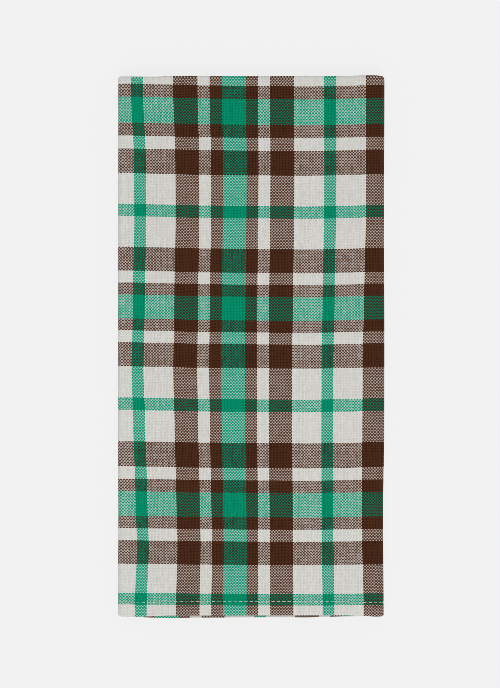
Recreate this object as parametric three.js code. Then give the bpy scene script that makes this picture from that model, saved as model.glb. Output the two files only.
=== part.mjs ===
// A cloth napkin folded in half lengthwise and then in quarters, lying flat.
// One sheet of checked cotton makes eight layers. The first fold turns the sheet over at its +Y end.
// The doubled sheet then runs back and forth in four panels, three folds apart along X.
// Millimetres. The origin is under the middle of the folded napkin, +Y is toward its first fold,
// +X toward the single thick fold, +Z up.

import * as THREE from "three";

// Folded size, over the outside of the top layer: fold to fold, and first fold to hem edge.
const FOLDED_WIDTH = 123.0;
const FOLDED_LENGTH = 249.8;

// One layer of cloth and the air between two layers.
const SHEET = 1.0;
const AIR = 0.3;

// The same at the hems, where the cloth is turned in twice and pressed.
const HEM_SHEET = 1.25;
const HEM_AIR = 0.25;
// Depth of the hem, width of the step at its inner edge, and how far from the hem edge
// the stack needs to settle to its plain height.
const HEM_DEPTH = 6.4;
const HEM_STEP = 0.8;
const HEM_SETTLE = 34.0;

// Rounding of the folded napkin's corners, seen from above.
const CORNER = 1.5;

// How far the doubled sheet bulges sideways at the thick fold, at the middle of its two layers.
const THICK_FOLD_BULGE = 3.2;
// How far the small fold inside the thick one stays back from it.
const NESTED_FOLD_BACK = 1.5;
// How far the two free side edges stay back from the left fold.
const INNER_EDGE_BACK = 0.6;
const LOWER_EDGE_BACK = 4.0;

// Steps along a panel, round a small fold, round the thick fold and round the first fold's bend.
const PANEL_STEPS = 9;
const SMALL_FOLD_STEPS = 8;
const THICK_FOLD_STEPS = 12;
const BEND_STEPS = 6;

// Colour of the cloth as a whole: brown, green and off-white yarns mixed.
const CLOTH_COLOUR = 0x859085;

// How far the lowest layer's hem reaches past the nominal hem edge, along X.
const LOWEST_HEM = [
  { x: -60, past: 0.9 },
  { x: -40, past: 1.4 },
  { x: 20, past: 1.3 },
  { x: 46, past: 1.0 },
  { x: 58, past: 0.2 },
];

// How far the first fold of the lowest and of the top panel reaches past its nominal line, along X.
const LOWEST_FIRST_FOLD = [
  { x: 14, past: 0.0 },
  { x: 26, past: 0.7 },
  { x: 48, past: 0.95 },
  { x: 57, past: 0.45 },
];
const TOP_FIRST_FOLD = [
  { x: 43, past: 0.0 },
  { x: 54, past: 0.4 },
];

// The panels, from the lowest. level is the height of the middle of a panel's two layers, in layers
// above the lowest one. The other columns say how far the hems of the panel's front and back half and
// its first fold reach past their nominal lines: one value, or a table along X.
const PANELS = {
  lower: { level: 0.5, frontHem: LOWEST_HEM, backHem: -0.5, firstFold: LOWEST_FIRST_FOLD },
  inner: { level: 2.5, frontHem: -0.2, backHem: 0.2, firstFold: -0.3 },
  second: { level: 4.5, frontHem: -0.9, backHem: -0.6, firstFold: 0.0 },
  top: { level: 6.5, frontHem: 0.0, backHem: -0.4, firstFold: TOP_FIRST_FOLD },
};

// How far the thick fold draws in from its line, along Y.
const THICK_FOLD_IN = [
  { y: -125, in: 0.45 },
  { y: -75, in: 0.6 },
  { y: -40, in: 0.2 },
  { y: 60, in: 0.15 },
  { y: 115, in: 0.0 },
];

// How far the left fold draws in from its line, along Y.
const LEFT_FOLD_IN = [
  { y: -118, in: 0.05 },
  { y: -82, in: 0.3 },
  { y: -38, in: 0.0 },
  { y: 0, in: 0.2 },
  { y: 100, in: 0.25 },
];

// Rows across a half of the sheet, in millimetres from its hem edge.
const ROWS_FROM_HEM = [0, HEM_DEPTH, HEM_DEPTH + HEM_STEP, 16, HEM_SETTLE, 75, 120, 165, 205, 235];

// Smooth value between the rows of a short table, level beyond its ends.
function along(table, place, key, column) {
  const after = table.findIndex((row) => row[key] >= place);
  if (after === 0) return table[0][column];
  if (after < 0) return table[table.length - 1][column];
  const low = table[after - 1];
  const high = table[after];
  const share = THREE.MathUtils.smoothstep(place, low[key], high[key]);
  return THREE.MathUtils.lerp(low[column], high[column], share);
}

// How far an end of the sheet reaches past its nominal line at a station, between its two panels.
function pastAt(station, column, x) {
  const { from, to, share } = station.span;
  const read = (value) => (typeof value === "number" ? value : along(value, x, "x", "past"));
  return THREE.MathUtils.lerp(read(PANELS[from][column]), read(PANELS[to][column]), share);
}

// Distance of a row from the nominal hem edge, which lies at the -Y end.
function fromHem(y) {
  return y + FOLDED_LENGTH / 2;
}

// Thickness of one layer: the hem is thicker.
function sheetAt(y) {
  const share = THREE.MathUtils.smoothstep(fromHem(y), HEM_DEPTH, HEM_DEPTH + HEM_STEP);
  return THREE.MathUtils.lerp(HEM_SHEET, SHEET, share);
}

// Distance between the middles of two layers: the stack settles slowly beside the hems.
function pitchAt(y) {
  const share = THREE.MathUtils.smoothstep(fromHem(y), HEM_DEPTH, HEM_SETTLE);
  return THREE.MathUtils.lerp(HEM_SHEET + HEM_AIR, SHEET + AIR, share);
}

// Lines of the folds and free edges across X, at the middle of the doubled sheet.
function leftFold(y) {
  const outside = -FOLDED_WIDTH / 2 + along(LEFT_FOLD_IN, y, "y", "in");
  return outside + pitchAt(y) * 1.5 + sheetAt(y) / 2;
}

function thickFold(y) {
  const outside = FOLDED_WIDTH / 2 - along(THICK_FOLD_IN, y, "y", "in");
  return outside - pitchAt(y) / 2 - sheetAt(y) / 2 - THICK_FOLD_BULGE;
}

function nestedFold(y) {
  return thickFold(y) - NESTED_FOLD_BACK;
}

function innerEdge(y) {
  return -FOLDED_WIDTH / 2 + INNER_EDGE_BACK + along(LEFT_FOLD_IN, y, "y", "in");
}

function lowerEdge(y) {
  return -FOLDED_WIDTH / 2 + LOWER_EDGE_BACK + along(LEFT_FOLD_IN, y, "y", "in");
}

// A point of the doubled sheet's middle line in the XZ plane, and the way its front half faces.
// height is in layers; the lowest layer's underside stays at z = 0.
function middle(y, x, height, faceX, faceZ) {
  const length = Math.hypot(faceX, faceZ);
  const z = sheetAt(y) / 2 + height * pitchAt(y);
  return { x, z, faceX: faceX / length, faceZ: faceZ / length };
}

// A station on a flat panel, a share of the way from one line to the other.
// span names the panels on both sides of a station and its share of the way between them.
function panelStation(name, from, to, faceZ, share) {
  const panel = PANELS[name];
  return {
    span: { from: name, to: name, share: 0 },
    at: (y) => middle(y, THREE.MathUtils.lerp(from(y), to(y), share), panel.level, 0, faceZ),
  };
}

// A station on a fold from one panel to the next. turn is the angle round the fold's centre.
function foldStation(from, to, line, reach, startAngle, turn, facing, share) {
  const middleLevel = (PANELS[from].level + PANELS[to].level) / 2;
  const levels = Math.abs(PANELS[from].level - PANELS[to].level) / 2;
  const angle = startAngle + turn * share;
  const across = Math.cos(angle);
  const up = Math.sin(angle);
  return {
    span: { from, to, share },
    at: (y) => {
      const rise = levels * pitchAt(y);
      const x = line(y) + reach(y) * across;
      const faceX = (facing * across) / reach(y);
      const faceZ = (facing * up) / rise;
      return middle(y, x, middleLevel + levels * up, faceX, faceZ);
    },
  };
}

// All stations of the doubled sheet, from the lower free edge to the inner free edge.
function sheetStations() {
  const stations = [];
  const panel = (name, from, to, faceZ, first, last) => {
    for (let step = first; step <= last; step += 1) {
      stations.push(panelStation(name, from, to, faceZ, step / PANEL_STEPS));
    }
  };
  const fold = (from, to, line, reach, startAngle, turn, facing, steps) => {
    for (let step = 0; step <= steps; step += 1) {
      stations.push(foldStation(from, to, line, reach, startAngle, turn, facing, step / steps));
    }
  };
  const thickReach = () => THICK_FOLD_BULGE;
  const smallReach = (y) => pitchAt(y);
  const quarter = Math.PI / 2;
  panel("lower", lowerEdge, thickFold, -1, 0, PANEL_STEPS - 1);
  fold("lower", "top", thickFold, thickReach, -quarter, Math.PI, 1, THICK_FOLD_STEPS);
  panel("top", thickFold, leftFold, 1, 1, PANEL_STEPS - 1);
  fold("top", "second", leftFold, smallReach, quarter, Math.PI, 1, SMALL_FOLD_STEPS);
  panel("second", leftFold, nestedFold, -1, 1, PANEL_STEPS - 1);
  fold("second", "inner", nestedFold, smallReach, quarter, -Math.PI, -1, SMALL_FOLD_STEPS);
  panel("inner", nestedFold, innerEdge, 1, 1, PANEL_STEPS);
  return stations;
}

// How far an end draws back at a corner, by its distance from the folded outline's side.
function cornerBack(x) {
  const inside = Math.max(FOLDED_WIDTH / 2 - Math.abs(x), 0);
  const short = Math.max(CORNER - inside, 0);
  return CORNER - Math.sqrt(CORNER * CORNER - short * short);
}

// Y of the hem edge of a station's front or back half. side is +1 in front and -1 behind.
function hemEdge(station, column, side) {
  const nominal = -FOLDED_LENGTH / 2;
  const { x, faceX } = station.at(nominal);
  const legX = x + (side * faceX * pitchAt(nominal)) / 2;
  return nominal + cornerBack(legX) - pastAt(station, column, x);
}

// Y of the middle of the first fold's bend at a station.
function bendCentre(station) {
  const nominal = FOLDED_LENGTH / 2;
  const reach = (pitchAt(nominal) + sheetAt(nominal)) / 2;
  const { x, faceX } = station.at(nominal);
  return nominal - reach - cornerBack(x + faceX * reach) + pastAt(station, "firstFold", x);
}

// The rows of one side of a station's hairpin section, from the front half's hem edge,
// round the first fold and back to the back half's hem edge.
// skin is +1 for the outside of the hairpin and -1 for its inside.
function hairpin(station, skin) {
  const rows = [];
  const centre = bendCentre(station);
  const leg = (column, side, backward) => {
    const edge = hemEdge(station, column, side);
    const places = ROWS_FROM_HEM.map((d) => (d === 0 ? edge : d - FOLDED_LENGTH / 2));
    if (backward) places.reverse();
    places.forEach((y) => rows.push({ y, off: side * (pitchAt(y) / 2 + (skin * sheetAt(y)) / 2), at: y }));
  };
  leg("frontHem", 1, false);
  const radius = pitchAt(centre) / 2 + (skin * sheetAt(centre)) / 2;
  for (let step = 0; step <= BEND_STEPS; step += 1) {
    const angle = (Math.PI * step) / BEND_STEPS;
    rows.push({ y: centre + radius * Math.sin(angle), off: radius * Math.cos(angle), at: centre });
  }
  leg("backHem", -1, true);
  return rows.map(({ y, off, at }) => {
    const point = station.at(at);
    return [point.x + point.faceX * off, y, point.z + point.faceZ * off];
  });
}

// One closed surface: the outside and inside of the hairpin, swept along the stations.
function napkinGeometry() {
  const rings = sheetStations().map((station) => {
    return [...hairpin(station, 1), ...hairpin(station, -1).reverse()];
  });
  const size = rings[0].length;
  const index = [];
  const quad = (a, b, c, d) => index.push(a, b, c, a, c, d);
  for (let i = 0; i + 1 < rings.length; i += 1) {
    for (let j = 0; j < size; j += 1) {
      const next = (j + 1) % size;
      quad(i * size + j, i * size + next, (i + 1) * size + next, (i + 1) * size + j);
    }
  }
  // The two free side edges, as strips from the outside to the inside of the hairpin.
  const last = (rings.length - 1) * size;
  for (let j = 0; j + 1 < size / 2; j += 1) {
    const inner = size - 1 - j;
    quad(j, inner, inner - 1, j + 1);
    quad(last + j, last + j + 1, last + inner - 1, last + inner);
  }
  const geometry = new THREE.BufferGeometry();
  geometry.setAttribute("position", new THREE.Float32BufferAttribute(rings.flat(2), 3));
  geometry.setIndex(index);
  geometry.computeVertexNormals();
  return geometry;
}

// Stand the cloth on z = 0 with its outline's middle at the origin.
function centred(geometry) {
  geometry.computeBoundingBox();
  const { min, max } = geometry.boundingBox;
  geometry.translate(-(min.x + max.x) / 2, -(min.y + max.y) / 2, -min.z);
  return geometry;
}

const cloth = new THREE.MeshStandardMaterial({ color: CLOTH_COLOUR, roughness: 0.9, metalness: 0.0 });
const napkin = new THREE.Mesh(centred(napkinGeometry()), cloth);
napkin.name = "napkin";

const part = new THREE.Group();
part.add(napkin);

export default part;
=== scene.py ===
"""A checked cotton napkin, folded in half and then in quarters, lying flat.

Laid out as an add-on and run as a script. Sizes are in metres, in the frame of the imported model:
+X toward the thick fold, +Y toward the first fold, +Z up, origin under the middle of the napkin.
"""

import bpy
import numpy as np
from bpy.props import FloatProperty, FloatVectorProperty, IntProperty, PointerProperty
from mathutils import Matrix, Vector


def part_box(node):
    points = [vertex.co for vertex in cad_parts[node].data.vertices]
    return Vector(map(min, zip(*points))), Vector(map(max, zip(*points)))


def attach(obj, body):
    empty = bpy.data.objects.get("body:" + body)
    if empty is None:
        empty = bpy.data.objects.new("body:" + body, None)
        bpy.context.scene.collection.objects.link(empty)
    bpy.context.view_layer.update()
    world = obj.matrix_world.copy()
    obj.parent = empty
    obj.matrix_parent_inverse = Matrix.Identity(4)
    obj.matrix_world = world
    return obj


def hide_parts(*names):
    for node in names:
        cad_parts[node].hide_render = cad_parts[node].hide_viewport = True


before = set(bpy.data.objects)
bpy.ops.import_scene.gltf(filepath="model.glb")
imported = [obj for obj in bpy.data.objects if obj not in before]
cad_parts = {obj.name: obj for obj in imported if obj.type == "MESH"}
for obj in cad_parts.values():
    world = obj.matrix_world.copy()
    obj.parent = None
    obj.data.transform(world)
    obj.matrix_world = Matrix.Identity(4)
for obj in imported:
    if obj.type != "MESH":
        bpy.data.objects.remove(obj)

bl_info = {
    "name": "Folded checked napkin",
    "version": (1, 0, 0),
    "blender": (4, 5, 0),
    "location": "View3D > Sidebar > Napkin",
    "description": "Makes a folded, checked cotton napkin with stitched hems, and its stage",
    "category": "Add Mesh",
}

MM = 0.001
WHITE = (1.0, 1.0, 1.0, 1.0)
NODE = "napkin"
SOLID_LOW, SOLID_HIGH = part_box(NODE)
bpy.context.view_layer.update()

# How far the two side folds draw in from their lines, along Y, in millimetres (place, value).
THICK_FOLD_IN = ((-125, 0.4), (-75, 0.6), (-40, 0.05), (0, 0.0), (60, 0.2), (115, 0.0))
LEFT_FOLD_IN = ((-118, 0.05), (-82, 0.3), (-38, 0.0), (0, 0.2), (100, 0.25))

# How far hems and first folds reach past their nominal lines, along X, in millimetres.
LOWEST_HEM = ((-60, 1.0), (-40, 1.5), (-20, 1.35), (12, 1.25), (26, 1.3), (36, 0.95), (44, 0.8), (58, 0.6))
TOP_HEM = ((-60, 0.9), (-48, 0.5), (-38, 0.1), (44, 0.0), (52, 0.4), (58, 0.6))
TOP_FIRST_FOLD = ((-60, -0.3), (-44, -0.35), (-36, 0.0), (43, 0.0), (54, 0.25))

# The four panels in the order that the doubled sheet runs through them. level is the height of the
# panel's middle in layers above the lowest, faces is +1 where its front half is on top, and the
# other columns are its ends, in millimetres past the nominal lines.
PANELS = (
    {"name": "lower", "level": 0.5, "faces": -1, "front": LOWEST_HEM, "back": -0.5, "fold": -0.4},
    {"name": "top", "level": 6.5, "faces": 1, "front": TOP_HEM, "back": -0.4, "fold": TOP_FIRST_FOLD},
    {"name": "second", "level": 4.5, "faces": -1, "front": -0.9, "back": -0.6, "fold": TOP_FIRST_FOLD},
    {"name": "inner", "level": 2.5, "faces": 1, "front": -0.2, "back": 0.2, "fold": -0.3},
)

# Steps of the cloth's mesh along each panel and each side fold, in that order.
CLOTH_STEPS = (36, 20, 84, 14, 36, 14, 36)

# Rows of that mesh at the free side edges, in half cloth thicknesses, and at the stitches of a side
# hem and of a hem, in millimetres past the stitches.
FREE_EDGE_ROWS = (0.02, 0.12, 0.3, 0.6, 1.0, 1.6)
SIDE_HEM_ROWS = (-3.0, -1.2, -0.5, -0.2, 0.0, 0.2, 0.5, 0.8, 1.2, 3.0)
HEM_ROWS = (-5.6, -4.5, -3.0, -1.5, -0.8, -0.45, -0.2, 0, 0.2, 0.4, 0.5, 0.65, 0.8, 1.4)
TIP_ROWS = 4
BEND_ROWS = 13

# Width of the dip that the stitches draw in, and where a hem edge's unevenness starts to fade into
# even cloth and over which length.
DIP_WIDTH = 0.45 * MM
EVEN_FROM = 10.0 * MM
EVEN_OVER = 30.0 * MM

# Points on the lines of stitches along the hems and the sides, and where the first fold's bend starts.
SEAM_PLACES = 900
SEAM_ROWS = 300
BEND_START = 3.5 * MM

# Share of a stitch that shows between its holes, and its middle's rise and dive in thread widths.
STITCH_SHARE = 0.82
STITCH_LIFT = 0.12
STITCH_DIVE = 0.85

# How uneven stitches are: their length by share, and their shift and slant in thread widths. Then
# how much a thread narrows into its hole, and how flat it lies.
STITCH_UNEVEN = 0.06
STITCH_SHIFT = 0.12
STITCH_TAPER = 0.85
STITCH_FLAT = 0.8

# Rows of fold_lines that the warp stripes hang on.
THICK_FOLD, LEFT_FOLD = 1, 2

# Half of the check, as (yarns from the middle of the wide green stripe, colour of what follows).
HALF_REPEAT = 64
GREEN_STRIPES = ((0, 1.0), (8, 0.0), (60, 1.0))
BROWN_STRIPES = ((0, 0.0), (8, 1.0), (16, 0.0), (24, 1.0), (40, 0.0))

# Pick count from the middle of the upper wide green stripe, along Y in millimetres.
PICKS = (
    (-120.2, 324),
    (-90.7, 280),
    (-68.1, 248),
    (-10.3, 168),
    (44.9, 88),
    (90.4, 24),
    (120.4, -16),
)

# How far the warp stripes wander to +X at the left, in the middle and at the right of the top layer,
# in a few given values: place along Y and shift, in millimetres.
WANDER_LEFT = (
    (-122, 0.4),
    (-93, 1.4),
    (-70, 0.7),
    (-36, -0.3),
    (-12, -1.1),
    (20, -0.5),
    (60, 0.2),
    (85, 0.0),
    (118, -1.3),
)
WANDER_MIDDLE = ((-122, 0.2), (-90, 0.15), (-30, -0.4), (0, -0.35), (85, 0.3), (118, 0.1))
WANDER_RIGHT = ((-122, -0.2), (-85, -0.9), (-5, -0.6), (20, 0.15), (70, 1.0), (108, 1.0), (118, 0.8))

# Places along the doubled sheet, as stations counts them, that the right, middle and left one hold for.
WANDER_PLACES = (2.04, 2.46, 2.92)

# How far the weft stripes bow to +Y across X, in millimetres, and the share of it along Y.
BOW = ((-58, 0.85), (-42, 0.5), (-22, 0.0), (2, -0.25), (26, -0.45), (45, -0.1), (57, 0.3))
BOW_SHARE = ((-122, 0.4), (-60, 0.75), (-20, 0.85), (30, 1.0))

# Gentle waves of the pressed stack: length of a wave along X and along Y in millimetres, its start
# in turns, and its height in millimetres.
WAVES = (
    (150.0, 64.0, 0.1, 0.11),
    (-95.0, 38.0, 0.45, 0.06),
    (60.0, 160.0, 0.7, 0.07),
    (31.0, -47.0, 0.2, 0.035),
)


def smooth(share):
    """Smooth step of a share: three squares less two cubes, level outside 0 to 1."""
    share = np.clip(share, 0.0, 1.0)
    return share * share * (3.0 - 2.0 * share)


def along(rows, place):
    """Value at each place in metres: a smooth step from row to row of a table in millimetres."""
    if np.isscalar(rows):
        return np.full(np.shape(place), rows * MM)
    places, values = np.array(rows, float).T
    at = np.asarray(place) / MM
    low = np.clip(np.searchsorted(places, at) - 1, 0, len(places) - 2)
    share = smooth((at - places[low]) / (places[low + 1] - places[low]))
    return (values[low] * (1.0 - share) + values[low + 1] * share) * MM


def linear(rows, place):
    """Value at each place in metres, straight from row to row and on beyond the ends."""
    places, values = np.array(rows, float).T
    at = np.asarray(place) / MM
    low = np.clip(np.searchsorted(places, at) - 1, 0, len(places) - 2)
    slope = (values[low + 1] - values[low]) / (places[low + 1] - places[low])
    return values[low] + slope * (at - places[low])


def millimetres(name, description, value):
    """A length that a user may change, with its default in millimetres."""
    return FloatProperty(name=name, description=description, default=value * MM, unit="LENGTH")


def yarn_colour(name, description, default):
    """A colour that a user may change."""
    return FloatVectorProperty(
        name=name, description=description, default=default, size=3, min=0.0, max=1.0, subtype="COLOR"
    )


class ClothSize(bpy.types.PropertyGroup):
    """Sizes of the folded cloth."""

    folded_width: millimetres("Folded width", "From the left fold to the thick fold", 123.6)
    folded_length: millimetres("Folded length", "From the first fold to the hem edge of the top layer", 249.8)
    space: millimetres("Layer space", "Thickness that a layer takes up in the stack", 1.0)
    air: millimetres("Air", "Air between two layer spaces", 0.3)
    hem_space: millimetres("Hem layer space", "Thickness that a hem takes up in the stack", 1.25)
    hem_air: millimetres("Hem air", "Air between two hems", 0.25)
    cloth: millimetres("Cloth thickness", "Thickness of the woven cloth", 0.75)
    hem: millimetres("Hem thickness", "Thickness of the cloth where it is turned in twice", 1.2)
    side_hem: millimetres(
        "Side hem thickness", "Thickness of the hems along the free sides, which are pressed flatter", 1.0
    )
    hem_depth: millimetres("Hem depth", "From the hem edge to the row of stitches", 6.4)
    hem_step: millimetres("Hem step", "From the row of stitches to the plain cloth", 0.8)
    hem_settle: millimetres(
        "Settling length", "How far from the hem edge the stack reaches its plain height", 34.0
    )
    corner: millimetres("Hem corner radius", "Rounding of the corners at the hems, seen from above", 1.5)
    fold_corner: millimetres(
        "Fold corner radius", "Rounding of the corners at the first fold, seen from above", 0.6
    )
    bulge: millimetres("Thick fold bulge", "How far the doubled sheet bulges sideways at the thick fold", 3.2)
    nested_back: millimetres("Nested fold back", "How far the fold inside the thick fold stays back", 1.5)
    inner_back: millimetres(
        "Inner edge back", "How far the inner side hem stays back from the left fold", 0.6
    )
    lower_back: millimetres(
        "Lower edge back", "How far the lower side hem stays back from the left fold", 4.0
    )
    stitch_dip: millimetres("Stitch dip", "How deep the row of stitches draws the cloth in", 0.12)
    end_spacing: millimetres("End spacing", "Distance from one warp yarn to the next", 0.6826)
    check_middle: millimetres(
        "Check middle", "Place across the top layer of the middle of the wide green stripe", -7.82
    )


class ClothColour(bpy.types.PropertyGroup):
    """Colours of the yarns and the sewing thread."""

    white: yarn_colour("Off-white yarn", "Colour of the ground yarns", (0.697, 0.692, 0.667))
    brown: yarn_colour("Brown yarn", "Colour of the brown yarns", (0.112, 0.0425, 0.0195))
    green: yarn_colour("Green yarn", "Colour of the green yarns", (0.0005, 0.356, 0.2155))
    thread: yarn_colour("Sewing thread", "Colour of the thread in the hems", (0.56, 0.55, 0.5))


class StitchSize(bpy.types.PropertyGroup):
    """Sizes of the hem stitches."""

    length: millimetres("Stitch length", "From one needle hole to the next", 2.5)
    thread: millimetres("Thread width", "Width of the thread where it lies on the cloth", 0.3)
    sides: IntProperty(name="Sides", description="Sides of a stitch's section", default=6, min=4)
    rings: IntProperty(name="Rings", description="Sections along a stitch", default=6, min=3)


class StageSize(bpy.types.PropertyGroup):
    """Camera, lights and floor."""

    image_height: IntProperty(name="Image height", description="In pixels", default=688)
    pixel: millimetres("Pixel size", "Real size of one pixel at the top layer", 0.463)
    aim_x: millimetres("Aim X", "Middle of the view", -0.53)
    aim_y: millimetres("Aim Y", "Middle of the view", 1.32)
    top: millimetres("Top layer", "Height of the layer that the pixel size holds for", 10.1)
    lens: FloatProperty(name="Lens", description="Focal length in millimetres", default=500.0)
    sensor: FloatProperty(name="Sensor", description="Width in millimetres", default=36.0)
    floor: millimetres("Floor size", "Side of the floor", 6000.0)
    floor_shade: FloatProperty(name="Floor shade", description="Grey of the floor", default=0.08)
    floor_glow: FloatProperty(name="Floor glow", description="Own light of the floor", default=0.8)
    key_power: FloatProperty(name="Key power", description="Overhead light", default=15.0, unit="POWER")
    key_size: millimetres("Key size", "Width of the light", 700.0)
    key_rise: millimetres("Key height", "Height of the light above the floor", 1900.0)
    key_front: millimetres("Key to the front", "From the napkin's middle to below the light", 850.0)
    fill: FloatProperty(name="Fill", description="Strength of the light from all around", default=0.8)
    backdrop: FloatProperty(name="Backdrop", description="Brightness behind the floor", default=0.88)
    filter_width: FloatProperty(name="Filter width", description="Softness of a pixel", default=0.55)


def settings():
    """The scene's own settings for this part."""
    scene = bpy.context.scene
    return scene.napkin_cloth, scene.napkin_colour, scene.napkin_stitch, scene.napkin_stage


def from_hem(size, y):
    """Distance of a place along Y from the nominal hem edge."""
    return y + size.folded_length / 2


def space_at(size, y):
    """Thickness that a layer takes up: the hem's, then a smooth step to the plain one."""
    share = smooth((from_hem(size, y) - size.hem_depth) / size.hem_step)
    return size.hem_space + (size.space - size.hem_space) * share


def pitch_at(size, y):
    """Distance between layer middles: settles smoothly from the hems to the plain stack."""
    share = smooth((from_hem(size, y) - size.hem_depth) / (size.hem_settle - size.hem_depth))
    hems, plain = size.hem_space + size.hem_air, size.space + size.air
    return hems + (plain - hems) * share


def fold_lines(size, y):
    """X of the five lines that the panels run between, at each y, stacked on the first axis."""
    pitch, space = pitch_at(size, y), space_at(size, y)
    left = -size.folded_width / 2 + along(LEFT_FOLD_IN, y)
    thick = size.folded_width / 2 - along(THICK_FOLD_IN, y) - (pitch + space) / 2 - size.bulge
    return np.stack(
        [
            left + size.lower_back,
            thick,
            left + 1.5 * pitch + space / 2,
            thick - size.nested_back,
            left + size.inner_back,
        ]
    )


def stations(place):
    """Where each place along the doubled sheet is.

    A place is 0 to 1 on the first panel, 1 to 2 round the first side fold, 2 to 3 on the second
    panel and so on. A panel's places share out the way between its two lines (start, end, share);
    a fold's go half round its centre, as the sine and cosine of the turn (across, up), by its rise
    in layers. blend is the share between the panels before and after.
    """
    number = np.clip(place // 2, 0, len(PANELS) - 1).astype(int)
    following = np.minimum(number + 1, len(PANELS) - 1)
    local = place - 2 * number
    fold = local > 1.0
    turn = np.clip(local - 1.0, 0.0, 1.0)
    level = np.array([panel["level"] for panel in PANELS])
    faces = np.array([panel["faces"] for panel in PANELS])
    step = level[number] - level[following]
    side = np.where(number % 2 == 0, 1.0, -1.0)
    return {
        "place": place,
        "start": np.where(fold, number + 1, number),
        "end": number + 1,
        "share": np.where(fold, 0.0, local),
        "across": np.where(fold, side * np.sin(np.pi * turn), 0.0),
        "up": np.where(fold, np.cos(np.pi * turn) * np.sign(step), 1.0),
        "level": np.where(fold, (level[number] + level[following]) / 2, level[number]),
        "rise": np.where(fold, np.abs(step) / 2, 0.0),
        "facing": faces[number] * np.where(fold, np.sign(step), 1.0),
        "thick": fold & (number == 0),
        "before": number,
        "after": np.where(fold, following, number),
        "blend": turn,
    }


def middle(size, path, y):
    """Middle line of the doubled sheet at each station and y: x, z and the way its front half faces.

    x goes from the start line to the end line by the share, plus the fold's reach times across.
    z is half a layer plus the level in layers times the pitch, plus the rise times up.
    """
    y = np.broadcast_to(y, np.broadcast_shapes(np.shape(y), (len(path["share"]), 1)))
    lines = fold_lines(size, y)
    rows = np.arange(len(y))
    column = {key: value[:, None] for key, value in path.items()}
    start = lines[path["start"], rows]
    end = lines[path["end"], rows]
    pitch = pitch_at(size, y)
    reach = np.where(column["thick"], size.bulge, pitch)
    rise = column["rise"] * pitch
    x = start + (end - start) * column["share"] + reach * column["across"]
    z = space_at(size, y) / 2 + column["level"] * pitch + rise * column["up"]
    face_x = column["facing"] * column["across"] / reach
    face_z = column["facing"] * column["up"] / np.maximum(rise, 1e-9)
    length = np.hypot(face_x, face_z)
    return x, z, face_x / length, face_z / length


def past(path, column, x):
    """How far an end of the sheet reaches past its nominal line, shared between two panels."""
    each = np.stack([along(panel[column], x) for panel in PANELS])
    rows = np.arange(len(x))
    before = each[path["before"], rows]
    after = each[path["after"], rows]
    return before + (after - before) * path["blend"][:, None]


def corner_back(size, radius, x):
    """How far an end draws back at a corner: a quarter circle by the distance from the side."""
    inside = np.maximum(size.folded_width / 2 - np.abs(x), 0.0)
    short = np.maximum(radius - inside, 0.0)
    return radius - np.sqrt(radius**2 - short**2)


def hem_edge(size, path, side):
    """Y of the hem edge of the front (side +1) or back (side -1) half at each station."""
    nominal = -size.folded_length / 2
    x, _, face_x, _ = middle(size, path, nominal)
    reach = side * pitch_at(size, nominal) / 2
    column = "front" if side > 0 else "back"
    return nominal + corner_back(size, size.corner, x + face_x * reach) - past(path, column, x)


def bend_centre(size, path):
    """Y of the middle of the first fold's bend at each station."""
    nominal = size.folded_length / 2
    x, _, face_x, _ = middle(size, path, nominal)
    reach = (pitch_at(size, nominal) + space_at(size, nominal)) / 2
    return nominal - reach - corner_back(size, size.fold_corner, x + face_x * reach) + past(path, "fold", x)


def skin_offset(size, path, y, from_edge, skin):
    """Distance of the outer (skin +1) or inner (skin -1) skin from the doubled sheet's middle.

    The outer skin keeps the layer space's outside, less the dip along the stitches. The inner one
    lies a cloth thickness inside it, more at the hems, and both close in at the free side edges.
    """
    last = 2.0 * len(PANELS) - 1.0
    free = np.minimum(path["place"], last - path["place"])[:, None] * size.folded_width
    hem = 1.0 - smooth((from_edge - size.hem_depth - size.hem_step / 2) / (size.hem_step / 2))
    side_hem = 1.0 - smooth((free - size.hem_depth - size.hem_step / 2) / (size.hem_step / 2))
    thick = np.maximum(
        size.cloth + (size.hem - size.cloth) * hem,
        size.cloth + (size.side_hem - size.cloth) * side_hem,
    )
    dip = np.exp(-(((from_edge - size.hem_depth) / DIP_WIDTH) ** 2))
    side_dip = np.exp(-(((free - size.hem_depth) / DIP_WIDTH) ** 2))
    dip = size.stitch_dip * np.maximum(dip, side_dip)
    outer = (pitch_at(size, y) + space_at(size, y)) / 2 - dip
    inner = outer - thick + 2.0 * dip
    half = (outer - inner) / 2
    open_up = np.sqrt(1.0 - np.clip(1.0 - free / (size.cloth / 2), 0.0, 1.0) ** 2)
    return (outer + inner) / 2 + skin * half * open_up, half


def picks_at(size, x, y):
    """Pick count at a place on the front half: the table along Y, bowed across X."""
    bow = along(BOW, x) * along(BOW_SHARE, y) / MM
    return linear(PICKS, y - bow)


def leg(size, path, side, skin, rows_from_edge, tip):
    """One leg of the hairpin on one skin, from its hem edge to the first fold: points and picks.

    tip is the angle of each row round the rounded hem edge, a quarter turn on the flat.
    """
    edge = hem_edge(size, path, side)
    far = smooth((rows_from_edge - EVEN_FROM) / EVEN_OVER)
    nominal = -size.folded_length / 2
    y = edge + (nominal - edge) * far + rows_from_edge
    offset, half = skin_offset(size, path, y, rows_from_edge, skin)
    flat, _ = skin_offset(size, path, y, rows_from_edge, -skin)
    centre = (offset + flat) / 2
    round_off = centre + (offset - centre) * np.sin(tip)
    y = y + np.where(tip < np.pi / 2, half * (1.0 - np.cos(tip)) - rows_from_edge, 0.0)
    x, z, face_x, face_z = middle(size, path, y)
    points = np.stack([x + side * face_x * round_off, y + 0.0 * x, z + side * face_z * round_off], -1)
    return points, picks_at(size, x, y)


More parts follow.
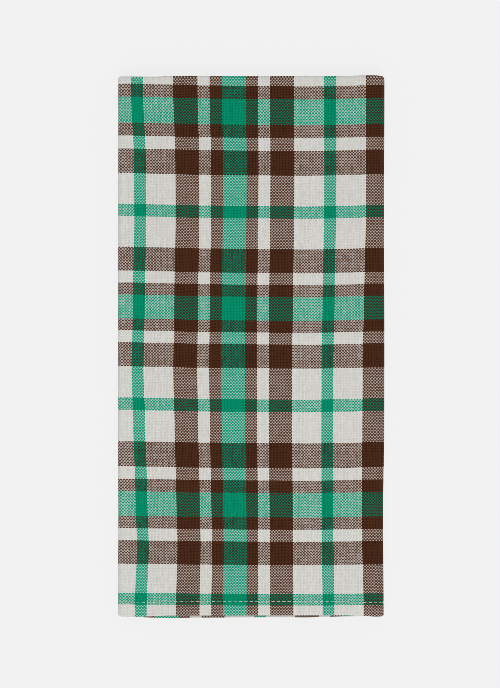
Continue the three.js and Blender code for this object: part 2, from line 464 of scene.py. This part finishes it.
def bend(size, path, skin, angles):
    """The first fold's bend on one skin: a half circle round its centre, from front to back."""
    centre = bend_centre(size, path)
    x, z, face_x, face_z = middle(size, path, centre)
    offset, _ = skin_offset(size, path, centre, from_hem(size, centre), skin)
    y = centre + offset * np.sin(angles)
    off = offset * np.cos(angles)
    points = np.stack([x + face_x * off, y, z + face_z * off], -1)
    arc = angles * pitch_at(size, centre) / 2
    spacing = (PICKS[-2][0] - PICKS[-1][0]) / (PICKS[-2][1] - PICKS[-1][1]) * MM
    return points, picks_at(size, x, centre) + arc / spacing


def ends_at(size, path, points):
    """Warp yarn count at each point, from the middle of the wide green stripe.

    It is the length along the front half's middle line, which on the top layer is the place across
    X, moved by how the stripes wander. What the top layer's ends are moved by fades out beyond it.
    """
    y = points[..., 1]
    x, z, face_x, face_z = middle(size, path, 0.0)
    reach = pitch_at(size, 0.0) / 2
    line_x, line_z = x[:, 0] + face_x[:, 0] * reach, z[:, 0] + face_z[:, 0] * reach
    run = np.concatenate([[0.0], np.cumsum(np.hypot(np.diff(line_x), np.diff(line_z)))])
    place = path["place"]
    top = (place >= 2) & (place <= 3)
    zero = np.interp(-size.check_middle, -x[top, 0], run[top])
    lines = fold_lines(size, y)
    still = fold_lines(size, np.zeros_like(y))
    thick = np.interp(place, [0, 1, 2, 3], [0, 1, 1, 0])[:, None]
    left = np.interp(place, [2, 3, 4, 5], [0, 1, 1, 0])[:, None]
    moved = thick * (still[THICK_FOLD] - lines[THICK_FOLD]) + left * (still[LEFT_FOLD] - lines[LEFT_FOLD])
    right_place, middle_place, left_place = WANDER_PLACES
    near_left = np.interp(place, [middle_place, left_place, 4, 5], [0, 1, 1, 0])[:, None]
    near_middle = np.interp(place, [2.0, middle_place, left_place], [0, 1, 0])[:, None]
    near_right = np.interp(place, [0, 1, right_place, middle_place], [0, 1, 1, 0])[:, None]
    wander = (
        near_left * along(WANDER_LEFT, y)
        + near_middle * along(WANDER_MIDDLE, y)
        + near_right * along(WANDER_RIGHT, y)
    )
    return (run[:, None] - zero + moved + wander) / size.end_spacing


def grid_faces(rings, size):
    """Quads between neighbouring closed rings of points, as vertex numbers."""
    ring, spot = np.meshgrid(np.arange(rings - 1), np.arange(size), indexing="ij")
    following = (spot + 1) % size
    quads = [ring * size + spot, ring * size + following]
    quads += [(ring + 1) * size + following, (ring + 1) * size + spot]
    return np.stack(quads, -1).reshape(-1, 4)


def new_piece(name, points, quads, uv=None, triangles=None):
    """A smooth mesh object at the origin from points, quads, triangles and a value pair per point."""
    faces = quads.tolist() + ([] if triangles is None else triangles.tolist())
    mesh = bpy.data.meshes.new(name)
    mesh.from_pydata(points.reshape(-1, 3).tolist(), [], faces)
    mesh.polygons.foreach_set("use_smooth", np.ones(len(mesh.polygons), bool))
    if uv is not None:
        corner = np.empty(len(mesh.loops), np.int32)
        mesh.loops.foreach_get("vertex_index", corner)
        layer = mesh.uv_layers.new(name="Yarns")
        layer.data.foreach_set("uv", uv.reshape(-1, 2)[corner].ravel().astype(np.float32))
    mesh.update()
    piece = bpy.data.objects.new(name, mesh)
    bpy.context.scene.collection.objects.link(piece)
    return piece


def cloth_places(size):
    """Places of the cloth's stations: even on each panel and fold, closer at the two free edges."""
    edge = size.cloth / 2 / size.folded_width
    free = edge * np.array(FREE_EDGE_ROWS)
    hem = (size.hem_depth + np.array(SIDE_HEM_ROWS) * MM) / size.folded_width
    last = 2.0 * len(PANELS) - 1.0
    parts = [free, hem, last - free, last - hem]
    start = 0.0
    for steps in CLOTH_STEPS:
        parts.append(np.linspace(start, start + 1.0, steps + 1))
        start += 1.0
    places = np.unique(np.round(np.concatenate(parts), 6))
    return places[(places >= free[0]) & (places <= last - free[0])]


def cloth_rows(size):
    """Rows across half of the sheet: their distance from the hem edge and their angle at the tip."""
    tip = np.linspace(0.0, np.pi / 2, TIP_ROWS + 1)[:-1]
    hem = size.hem_depth + np.array(HEM_ROWS) * MM
    body = np.concatenate([np.linspace(9.5, 36.0, 10), np.linspace(42.0, 240.0, 34), [244.0, 246.5]]) * MM
    rows = np.concatenate([np.full(len(tip), 0.4 * MM), [size.hem_depth - 5.95 * MM], hem, body])
    angles = np.concatenate([tip, np.full(len(rows) - len(tip), np.pi / 2)])
    return rows[None, :], angles[None, :]


def cloth_surface(size):
    """The folded cloth: the hairpin of its two skins carried along the stations.

    Each ring goes up the front half's outer skin, round the first fold, down the back half's, and
    back along the inner skins. Returns the points and the yarn counts (ends, picks).
    """
    path = stations(cloth_places(size))
    rows, tip = cloth_rows(size)
    angles = np.linspace(0.0, np.pi, BEND_ROWS)[None, :]
    skins = []
    for skin in (1, -1):
        front, front_picks = leg(size, path, 1, skin, rows, tip)
        back, back_picks = leg(size, path, -1, skin, rows, tip)
        round_it, round_picks = bend(size, path, skin, angles)
        last = round_picks[:, -1:]
        first = round_picks[:, :1]
        points = np.concatenate([front, round_it, back[:, ::-1]], 1)
        picks = np.concatenate([front_picks, round_picks, first + last - back_picks[:, ::-1]], 1)
        skins.append((points, picks))
    (outer, outer_picks), (inner, inner_picks) = skins
    points = np.concatenate([outer, inner[:, -2:0:-1]], 1)
    picks = np.concatenate([outer_picks, inner_picks[:, -2:0:-1]], 1)
    ends = ends_at(size, path, points)
    return points, np.stack([ends, picks], -1)


def settle(points):
    """Gentle waves through the whole stack: a sum of sines of x and y, by the share of the height."""
    x, y, z = np.moveaxis(points, -1, 0)
    rise = 0.0
    for across, along_it, start, height in WAVES:
        rise = rise + height * MM * np.sin(2 * np.pi * (x / across / MM + y / along_it / MM + start))
    return np.stack([x, y, z + rise * z / SOLID_HIGH.z], -1)


def centre_shift(size):
    """How far the surface's own outline is from the middle of the solid's box."""
    path = stations(cloth_places(size))
    lowest = hem_edge(size, path, 1).min()
    highest = (bend_centre(size, path) + (size.space + size.air + size.space) / 2).max()
    return (SOLID_LOW.y + SOLID_HIGH.y) / 2 - (lowest + highest) / 2


def seam_lines(size):
    """The lines of stitches on the face of the cloth, as points and outward directions.

    Two run along the hems through all panels, on the front and the back half. Two run along the
    side hems, up the front half, round the first fold and down the back half.
    """
    lines = []
    width = size.folded_width
    last = 2.0 * len(PANELS) - 1.0
    inset = (size.hem_depth * 0.5) / width
    places = np.linspace(inset, last - inset, SEAM_PLACES)
    row = np.array([[size.hem_depth]])
    flat = np.full((1, 1), np.pi / 2)
    for side in (1, -1):
        path = stations(places)
        outer, _ = leg(size, path, side, 1, row, flat)
        inner, _ = leg(size, path, side, -1, row, flat)
        lines.append((outer[:, 0], inner[:, 0]))
    rows = np.linspace(size.hem_depth * 0.5, size.folded_length - BEND_START, SEAM_ROWS)[None, :]
    angles = np.linspace(0.0, np.pi, BEND_ROWS)[None, :]
    flat = np.full((1, rows.shape[1]), np.pi / 2)
    for place in (size.hem_depth / width, last - size.hem_depth / width):
        path = stations(np.array([place]))
        skins = []
        for skin in (1, -1):
            front, _ = leg(size, path, 1, skin, rows, flat)
            back, _ = leg(size, path, -1, skin, rows, flat)
            round_it, _ = bend(size, path, skin, angles)
            skins.append(np.concatenate([front[0], round_it[0], back[0, ::-1]]))
        lines.append(tuple(skins))
    return lines


def stitch_surface(size, stitch, outer, inner, draw):
    """Stitches along one line: round threads that rise from a needle hole and dive into the next.

    Each is a ring of sides, carried along the line by t from -1 to 1. The thread narrows as the
    root of one less t to the eighth, and its middle sinks with t to the fourth. draw gives each
    one's own length, sideways shift and slant.
    """
    run = np.concatenate([[0.0], np.cumsum(np.linalg.norm(np.diff(outer, axis=0), axis=1))])
    number = int(run[-1] / stitch.length)
    start = (run[-1] - number * stitch.length) / 2
    own = draw.normal(0.0, 1.0, (3, number, 1))
    half = stitch.length * STITCH_SHARE / 2 * (1.0 + STITCH_UNEVEN * own[0])
    t = np.linspace(-1.0, 1.0, stitch.rings)[None, :]
    place = start + (np.arange(number)[:, None] + 0.5) * stitch.length + half * t

    def follow(values):
        return np.stack([np.interp(place, run, values[:, axis]) for axis in range(3)], -1)

    centre = follow(outer)
    outward = centre - follow(inner)
    outward /= np.linalg.norm(outward, axis=-1, keepdims=True)
    ahead = np.gradient(centre, axis=1)
    ahead /= np.linalg.norm(ahead, axis=-1, keepdims=True)
    aside = np.cross(ahead, outward)
    lift = (STITCH_LIFT - STITCH_DIVE * t**4) * stitch.thread
    shift = stitch.thread * STITCH_SHIFT * (own[1] + own[2] * t)
    centre = centre + outward * lift[..., None] + aside * shift[..., None]
    radius = stitch.thread / 2 * np.sqrt(1.0 - STITCH_TAPER * t**8)
    turn = np.linspace(0.0, 2.0 * np.pi, stitch.sides, endpoint=False)
    flat = STITCH_FLAT * outward[..., None, :] * np.sin(turn)[:, None]
    around = radius[..., None, None] * (aside[..., None, :] * np.cos(turn)[:, None] + flat)
    return centre[..., None, :] + around


def stitch_mesh(size, stitch):
    """All stitches as one mesh: points, quads, end faces and (along, around) values."""
    draw = np.random.default_rng(7)
    groups = [stitch_surface(size, stitch, outer, inner, draw) for outer, inner in seam_lines(size)]
    points = np.concatenate(groups)
    number, rings, sides = points.shape[:3]
    quads = grid_faces(rings, sides)[:, ::-1]
    cap = np.arange(sides)
    caps = np.stack([cap, (rings - 1) * sides + cap[::-1]])
    first = np.arange(number)[:, None, None] * rings * sides
    along_it = np.broadcast_to(np.linspace(0.0, 1.0, rings)[:, None], (rings, sides))
    around = np.broadcast_to(np.arange(sides) / sides, (rings, sides))
    values = np.stack([along_it + np.zeros((number, 1, 1)), around + np.zeros((number, 1, 1))], -1)
    return points, (quads + first).reshape(-1, 4), (caps + first).reshape(-1, sides), values


def feed(tree, socket, value):
    """Link a socket to an input, or set a constant on it."""
    if isinstance(value, bpy.types.NodeSocket):
        tree.links.new(value, socket)
    else:
        socket.default_value = value


def math_node(tree, operation, *values):
    """A Math node with sockets or numbers as its inputs; returns its output."""
    node = tree.nodes.new("ShaderNodeMath")
    node.operation = operation
    for socket, value in zip(node.inputs, values):
        feed(tree, socket, value)
    return node.outputs[0]


def mix_value(tree, factor, first, second):
    """A Mix node for values; returns its output."""
    node = tree.nodes.new("ShaderNodeMix")
    for number, value in ((0, factor), (2, first), (3, second)):
        feed(tree, node.inputs[number], value)
    return node.outputs[0]


def mix_colour(tree, factor, first, second, blend="MIX"):
    """A Mix node for colours; returns its output."""
    node = tree.nodes.new("ShaderNodeMix")
    node.data_type = "RGBA"
    node.blend_type = blend
    for number, value in ((0, factor), (6, first), (7, second)):
        feed(tree, node.inputs[number], value)
    return node.outputs[2]


def scaled(tree, colour, factor):
    """A colour times a value; returns the output."""
    node = tree.nodes.new("ShaderNodeVectorMath")
    node.operation = "SCALE"
    feed(tree, node.inputs[0], colour)
    feed(tree, node.inputs["Scale"], factor)
    return node.outputs[0]


def stripe_mask(tree, distance, stripes):
    """A stepped colour ramp over half of the check: 1 on the stripes and 0 between them."""
    node = tree.nodes.new("ShaderNodeValToRGB")
    node.color_ramp.interpolation = "CONSTANT"
    elements = node.color_ramp.elements
    while len(elements) < len(stripes):
        elements.new(0.5)
    while len(elements) > len(stripes):
        elements.remove(elements[-1])
    for element, (place, value) in zip(elements, stripes):
        element.position = place / HALF_REPEAT
        element.color = (value, value, value, 1.0)
    tree.links.new(distance, node.inputs[0])
    return node.outputs[0]


def new_group(name, inputs, outputs, kind="NodeSocketFloat"):
    """A shader node group: inputs by name, with a number or a colour as default, and its outputs."""
    tree = bpy.data.node_groups.new(name, "ShaderNodeTree")
    for label, default in inputs.items():
        own = "NodeSocketColor" if isinstance(default, tuple) else "NodeSocketFloat"
        tree.interface.new_socket(label, in_out="INPUT", socket_type=own).default_value = default
    for label in outputs:
        tree.interface.new_socket(label, in_out="OUTPUT", socket_type=kind)
    source = tree.nodes.new("NodeGroupInput")
    target = tree.nodes.new("NodeGroupOutput")
    return tree, source.outputs, target.inputs


def place_group(tree, group, values):
    """A group node in a tree, with sockets or constant values for its named inputs."""
    node = tree.nodes.new("ShaderNodeGroup")
    node.node_tree = group
    for label, value in values.items():
        feed(tree, node.inputs[label], value)
    return node.outputs


def sett_group():
    """The check's stripe colours by yarn count: wide green, brown, white, brown, white, green."""
    inputs = {"Yarns": 0.0, "White": WHITE, "Brown": WHITE, "Green": WHITE}
    tree, source, target = new_group("check stripes", inputs, ("Colour",), "NodeSocketColor")
    yarn = math_node(tree, "ADD", math_node(tree, "FLOOR", source["Yarns"]), 0.5)
    distance = math_node(tree, "PINGPONG", yarn, float(HALF_REPEAT))
    distance = math_node(tree, "DIVIDE", distance, float(HALF_REPEAT))
    brown = mix_colour(tree, stripe_mask(tree, distance, BROWN_STRIPES), source["White"], source["Brown"])
    green = mix_colour(tree, stripe_mask(tree, distance, GREEN_STRIPES), brown, source["Green"])
    tree.links.new(green, target["Colour"])
    return tree


def weave_group():
    """Plain weave by yarn counts: each yarn is a half round that swings over and under the others.

    A yarn's height is its swing times a cosine along it, plus its roundness times the root of one
    less the square across it. The higher of warp and weft shows, and where both lie low is hollow.
    The warp lies higher by its lead and by how much thicker it is than the weft at that place.
    """
    inputs = {"Ends": 0.0, "Picks": 0.0, "Swing": 0.151, "Roundness": 0.35, "Warp lead": 0.0557}
    inputs |= {"Uneven warp": 1.0, "Uneven weft": 1.0, "Unevenness": 0.8}
    outputs = ("Warp on top", "Height", "Hollow", "Across", "Along")
    tree, source, target = new_group("plain weave", inputs, outputs)

    def yarn(across, along_it, phase):
        number = math_node(tree, "FLOOR", across)
        spot = math_node(tree, "MULTIPLY_ADD", math_node(tree, "FRACT", across), 2.0, -1.0)
        inside = math_node(tree, "SUBTRACT", 1.0, math_node(tree, "MULTIPLY", spot, spot))
        round_it = math_node(tree, "SQRT", math_node(tree, "MAXIMUM", inside, 0.0))
        turn = math_node(tree, "ADD", math_node(tree, "ADD", along_it, number), phase)
        swing = math_node(tree, "COSINE", math_node(tree, "MULTIPLY", turn, float(np.pi)))
        body = math_node(tree, "MULTIPLY", round_it, source["Roundness"])
        return math_node(tree, "MULTIPLY_ADD", swing, source["Swing"], body)

    uneven = math_node(tree, "SUBTRACT", source["Uneven warp"], source["Uneven weft"])
    lead = math_node(tree, "MULTIPLY_ADD", uneven, source["Unevenness"], source["Warp lead"])
    warp = math_node(tree, "ADD", yarn(source["Ends"], source["Picks"], -0.5), lead)
    weft = yarn(source["Picks"], source["Ends"], 0.5)
    top = math_node(tree, "GREATER_THAN", warp, weft)
    height = math_node(tree, "MAXIMUM", warp, weft)
    hollow = tree.nodes.new("ShaderNodeMapRange")
    hollow.interpolation_type = "SMOOTHSTEP"
    for socket, value in zip(hollow.inputs[1:5], (0.02, 0.5, 1.0, 0.0)):
        socket.default_value = value
    tree.links.new(height, hollow.inputs["Value"])
    tree.links.new(top, target["Warp on top"])
    tree.links.new(height, target["Height"])
    tree.links.new(hollow.outputs[0], target["Hollow"])
    tree.links.new(mix_value(tree, top, source["Picks"], source["Ends"]), target["Across"])
    tree.links.new(mix_value(tree, top, source["Ends"], source["Picks"]), target["Along"])
    return tree


def noise_at(tree, across, along_it, detail):
    """A noise texture at a pair of values, from 0 to 1 and mostly near the middle."""
    place = tree.nodes.new("ShaderNodeCombineXYZ")
    tree.links.new(across, place.inputs[0])
    tree.links.new(along_it, place.inputs[1])
    node = tree.nodes.new("ShaderNodeTexNoise")
    node.noise_dimensions = "2D"
    node.inputs["Scale"].default_value = 1.0
    node.inputs["Detail"].default_value = detail
    tree.links.new(place.outputs[0], node.inputs["Vector"])
    return node.outputs[0]


def tone_group():
    """How light each yarn is, round 1: its own shade, and slow streaks along its length."""
    inputs = {"Across": 0.0, "Along": 0.0, "Each yarn": 0.1, "Streaks": 0.35, "Start": 0.0}
    tree, source, target = new_group("yarn tone", inputs, ("Tone",))
    number = math_node(tree, "ADD", math_node(tree, "FLOOR", source["Across"]), source["Start"])
    own = tree.nodes.new("ShaderNodeTexWhiteNoise")
    own.noise_dimensions = "1D"
    tree.links.new(number, own.inputs["W"])
    streak = noise_at(
        tree,
        math_node(tree, "MULTIPLY", number, 3.7),
        math_node(tree, "MULTIPLY", source["Along"], 0.22),
        3.0,
    )
    spread = math_node(tree, "SUBTRACT", own.outputs["Value"], 0.5)
    drift = math_node(tree, "SUBTRACT", streak, 0.5)
    tone = math_node(tree, "MULTIPLY_ADD", spread, source["Each yarn"], 1.0)
    tree.links.new(math_node(tree, "MULTIPLY_ADD", drift, source["Streaks"], tone), target["Tone"])
    return tree


def fibre_group():
    """Fine twisted fibres of a yarn: noise stretched along it on a slant, round 0."""
    inputs = {"Across": 0.0, "Along": 0.0, "Fineness": 7.0, "Twist": 3.0}
    tree, source, target = new_group("twisted fibres", inputs, ("Fibres",))
    slant = math_node(tree, "MULTIPLY", source["Along"], source["Twist"])
    across = math_node(tree, "MULTIPLY_ADD", source["Across"], source["Fineness"], slant)
    fibres = noise_at(tree, across, math_node(tree, "MULTIPLY", source["Along"], 1.1), 2.0)
    tree.links.new(math_node(tree, "SUBTRACT", fibres, 0.5), target["Fibres"])
    return tree


def yarn_shade_group():
    """Colour of a yarn as its neighbours leave it.

    The crossing yarn's colour multiplies into it, more in the hollows: partly the yarn beneath showing
    through, partly painted shade. In the hollows the colour is also raised to a power and darkened,
    which is painted shade too. Tone makes it lighter or darker.
    """
    # Glow mixes in the crossing colour, part show-through and part painted shade; the hollow power and Shade
    # are painted shade.
    inputs = {"Yarn": WHITE, "Crossing": WHITE, "Hollow": 0.0, "Tone": 1.0, "Glow on top": 0.529}
    inputs |= {"Glow in hollow": 0.945, "Hollow shade power": 0.15, "Shade": 0.005}
    tree, source, target = new_group("yarn show-through and painted shade", inputs, ("Colour",), "NodeSocketColor")
    hollow = source["Hollow"]
    share = mix_value(tree, hollow, source["Glow on top"], source["Glow in hollow"])
    both = mix_colour(tree, 1.0, source["Yarn"], source["Crossing"], "MULTIPLY")
    glowing = mix_colour(tree, share, source["Yarn"], both)
    gamma = tree.nodes.new("ShaderNodeGamma")
    tree.links.new(glowing, gamma.inputs["Color"])
    power = math_node(tree, "MULTIPLY_ADD", hollow, source["Hollow shade power"], 1.0)
    tree.links.new(power, gamma.inputs["Gamma"])
    dark = math_node(tree, "SUBTRACT", 1.0, math_node(tree, "MULTIPLY", hollow, source["Shade"]))
    tone = math_node(tree, "MULTIPLY", dark, source["Tone"])
    tree.links.new(scaled(tree, gamma.outputs[0], tone), target["Colour"])
    return tree


def uv_pair(tree, name):
    """The two values of a UV map, as separate sockets."""
    counts = tree.nodes.new("ShaderNodeUVMap")
    counts.uv_map = name
    split = tree.nodes.new("ShaderNodeSeparateXYZ")
    tree.links.new(counts.outputs[0], split.inputs[0])
    return split.outputs[0], split.outputs[1]


def relief_of(tree, height, distance, strength):
    """A Bump node over a height; returns its normal."""
    bump = tree.nodes.new("ShaderNodeBump")
    bump.inputs["Strength"].default_value = strength
    bump.inputs["Distance"].default_value = distance
    tree.links.new(height, bump.inputs["Height"])
    return bump.outputs[0]


def textile_shader(material, roughness):
    """The Principled BSDF of a matt textile with a faint sheen at grazing angles."""
    material.use_nodes = True
    shader = material.node_tree.nodes["Principled BSDF"]
    shader.inputs["Roughness"].default_value = roughness
    shader.inputs["Specular IOR Level"].default_value = 0.04
    shader.inputs["Sheen Weight"].default_value = 0.05
    shader.inputs["Sheen Roughness"].default_value = 0.35
    return shader


def cloth_material(colour, fibres):
    """Checked plain-woven cotton: warp and weft stripes, crossing by crossing, with yarn relief."""
    material = bpy.data.materials.new("checked cotton")
    shader = textile_shader(material, 0.9)
    tree = material.node_tree
    ends, picks = uv_pair(tree, "Yarns")
    sett, tone = sett_group(), tone_group()
    yarns = {
        "White": (*colour.white, 1.0),
        "Brown": (*colour.brown, 1.0),
        "Green": (*colour.green, 1.0),
    }
    warp = place_group(tree, sett, {"Yarns": ends, **yarns})["Colour"]
    weft = place_group(tree, sett, {"Yarns": picks, **yarns})["Colour"]
    warp_tone = place_group(tree, tone, {"Across": ends, "Along": picks, "Start": 11.0})["Tone"]
    weft_tone = place_group(tree, tone, {"Across": picks, "Along": ends, "Start": 517.0})["Tone"]
    counts = {"Ends": ends, "Picks": picks, "Uneven warp": warp_tone, "Uneven weft": weft_tone}
    crossing = place_group(tree, weave_group(), counts)
    top = crossing["Warp on top"]
    fine = place_group(tree, fibres, {"Across": crossing["Across"], "Along": crossing["Along"]})["Fibres"]
    tone = math_node(tree, "MULTIPLY_ADD", fine, 0.25, mix_value(tree, top, weft_tone, warp_tone))
    shade = {
        "Yarn": mix_colour(tree, top, weft, warp),
        "Crossing": mix_colour(tree, top, warp, weft),
        "Hollow": crossing["Hollow"],
        "Tone": tone,
    }
    # Base colour with painted shade in the hollows between yarns and from the crossing yarn's colour.
    tree.links.new(place_group(tree, yarn_shade_group(), shade)["Colour"], shader.inputs["Base Color"])
    height = math_node(tree, "MULTIPLY_ADD", fine, 0.12, crossing["Height"])
    tree.links.new(relief_of(tree, height, 0.25 * MM, 0.5), shader.inputs["Normal"])
    return material


def thread_material(colour, fibres):
    """Twisted sewing thread: slanting plies, fine fibres, and a painted highlight on the ply crowns."""
    material = bpy.data.materials.new("sewing thread")
    shader = textile_shader(material, 0.75)
    tree = material.node_tree
    along_it, around = uv_pair(tree, "Yarns")
    plies = math_node(tree, "MULTIPLY_ADD", along_it, 4.0, math_node(tree, "MULTIPLY", around, 2.0))
    ridge = math_node(tree, "SINE", math_node(tree, "MULTIPLY", plies, float(2.0 * np.pi)))
    fine = place_group(tree, fibres, {"Across": around, "Along": along_it, "Fineness": 12.0})["Fibres"]
    # Painted highlight and shade: lighter on the ply crowns, darker in the grooves.
    tone = math_node(tree, "MULTIPLY_ADD", ridge, 0.1, 0.94)
    tone = math_node(tree, "MULTIPLY_ADD", fine, 0.2, tone)
    tree.links.new(scaled(tree, colour.thread, tone), shader.inputs["Base Color"])
    tree.links.new(relief_of(tree, ridge, 0.03 * MM, 0.6), shader.inputs["Normal"])
    return material


class NAPKIN_OT_cloth(bpy.types.Operator):
    """Make the folded cloth with its woven check and turned hems"""

    bl_idname = "napkin.cloth"
    bl_label = "Folded cloth"

    def execute(self, context):
        size, colour, _, _ = settings()
        points, counts = cloth_surface(size)
        points[..., 1] += centre_shift(size)
        points = settle(points)
        stations, ring = points.shape[:2]
        quads = grid_faces(stations, ring)
        spot = np.arange(ring // 2 + 1)
        other = (ring - spot) % ring
        first = np.stack([spot[:-1], other[:-1], other[1:], spot[1:]], -1)
        last = (stations - 1) * ring + first[:, ::-1]
        ends = np.concatenate([first, last])
        flat = [face for face in ends.tolist() if len(set(face)) == 4]
        tips = [list(dict.fromkeys(face)) for face in ends.tolist() if len(set(face)) == 3]
        quads = np.concatenate([quads, np.array(flat)])
        piece = new_piece("napkin_cloth", points, quads, counts, np.array(tips))
        piece.data.materials.append(cloth_material(colour, fibre_group()))
        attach(piece, "root")
        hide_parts(NODE)
        return {"FINISHED"}


class NAPKIN_OT_stitches(bpy.types.Operator):
    """Sew the four hems: one row of stitches along each edge of the cloth"""

    bl_idname = "napkin.stitches"
    bl_label = "Hem stitches"

    def execute(self, context):
        size, colour, stitch, _ = settings()
        points, quads, caps, values = stitch_mesh(size, stitch)
        points[..., 1] += centre_shift(size)
        points = settle(points)
        points[..., 2] = np.maximum(points[..., 2], SOLID_LOW.z)
        piece = new_piece("hem_stitches", points, quads, values, caps)
        piece.data.materials.append(thread_material(colour, bpy.data.node_groups["twisted fibres"]))
        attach(piece, "root")
        return {"FINISHED"}


class NAPKIN_OT_stage(bpy.types.Operator):
    """Set the floor, the soft light and the camera straight above"""

    bl_idname = "napkin.stage"
    bl_label = "Stage"

    def execute(self, context):
        _, _, _, stage = settings()
        scene = context.scene
        half = stage.floor / 2
        corners = np.array([[-half, -half, 0], [half, -half, 0], [half, half, 0], [-half, half, 0]])
        floor = new_piece("floor", corners, np.array([[0, 1, 2, 3]]))
        paint = bpy.data.materials.new("pale floor")
        paint.use_nodes = True
        shader = paint.node_tree.nodes["Principled BSDF"]
        shader.inputs["Base Color"].default_value = (stage.floor_shade,) * 3 + (1.0,)
        shader.inputs["Roughness"].default_value = 1.0
        shader.inputs["Specular IOR Level"].default_value = 0.0
        shader.inputs["Emission Color"].default_value = WHITE
        shader.inputs["Emission Strength"].default_value = stage.floor_glow
        floor.data.materials.append(paint)
        lamp = bpy.data.lights.new("overhead light", "AREA")
        lamp.shape = "DISK"
        lamp.size = stage.key_size
        lamp.energy = stage.key_power
        overhead = bpy.data.objects.new("overhead light", lamp)
        overhead.location = (0.0, -stage.key_front, stage.key_rise)
        overhead.rotation_euler.x = float(np.arctan2(stage.key_front, stage.key_rise))
        overhead.visible_camera = False
        scene.collection.objects.link(overhead)
        world = bpy.data.worlds.new("soft surroundings")
        world.use_nodes = True
        tree = world.node_tree
        around = tree.nodes["Background"]
        around.inputs["Color"].default_value = WHITE
        path = tree.nodes.new("ShaderNodeLightPath")
        strength = mix_value(tree, path.outputs["Is Camera Ray"], stage.fill, stage.backdrop)
        tree.links.new(strength, around.inputs["Strength"])
        scene.world = world
        camera = bpy.data.cameras.new("camera")
        camera.lens = stage.lens
        camera.sensor_width = stage.sensor
        camera.clip_end = 50.0
        eye = bpy.data.objects.new("camera", camera)
        rise = stage.image_height * stage.pixel * stage.lens / camera.sensor_width
        eye.location = (stage.aim_x, stage.aim_y, rise + stage.top)
        scene.collection.objects.link(eye)
        scene.camera = eye
        scene.view_settings.view_transform = "Standard"
        scene.cycles.denoising_prefilter = "NONE"
        scene.cycles.filter_width = stage.filter_width
        return {"FINISHED"}


class NAPKIN_PT_panel(bpy.types.Panel):
    """Sizes, colours and steps of the napkin"""

    bl_idname = "NAPKIN_PT_panel"
    bl_label = "Napkin"
    bl_space_type = "VIEW_3D"
    bl_region_type = "UI"
    bl_category = "Napkin"

    def draw(self, context):
        for group in settings():
            box = self.layout.box()
            for name in group.__annotations__:
                box.prop(group, name)
        for operator in OPERATORS:
            self.layout.operator(operator.bl_idname)


OPERATORS = (NAPKIN_OT_cloth, NAPKIN_OT_stitches, NAPKIN_OT_stage)
CLASSES = (ClothSize, ClothColour, StitchSize, StageSize, *OPERATORS, NAPKIN_PT_panel)


def register():
    """Register the classes and hang the settings on the scene."""
    for each in CLASSES:
        bpy.utils.register_class(each)
    bpy.types.Scene.napkin_cloth = PointerProperty(type=ClothSize)
    bpy.types.Scene.napkin_colour = PointerProperty(type=ClothColour)
    bpy.types.Scene.napkin_stitch = PointerProperty(type=StitchSize)
    bpy.types.Scene.napkin_stage = PointerProperty(type=StageSize)


def unregister():
    """Take the settings and the classes away again."""
    for name in ("napkin_cloth", "napkin_colour", "napkin_stitch", "napkin_stage"):
        delattr(bpy.types.Scene, name)
    for each in reversed(CLASSES):
        bpy.utils.unregister_class(each)


def main():
    """Make every piece in order."""
    register()
    bpy.ops.napkin.cloth()
    bpy.ops.napkin.stitches()
    bpy.ops.napkin.stage()


if __name__ == "__main__":
    main()
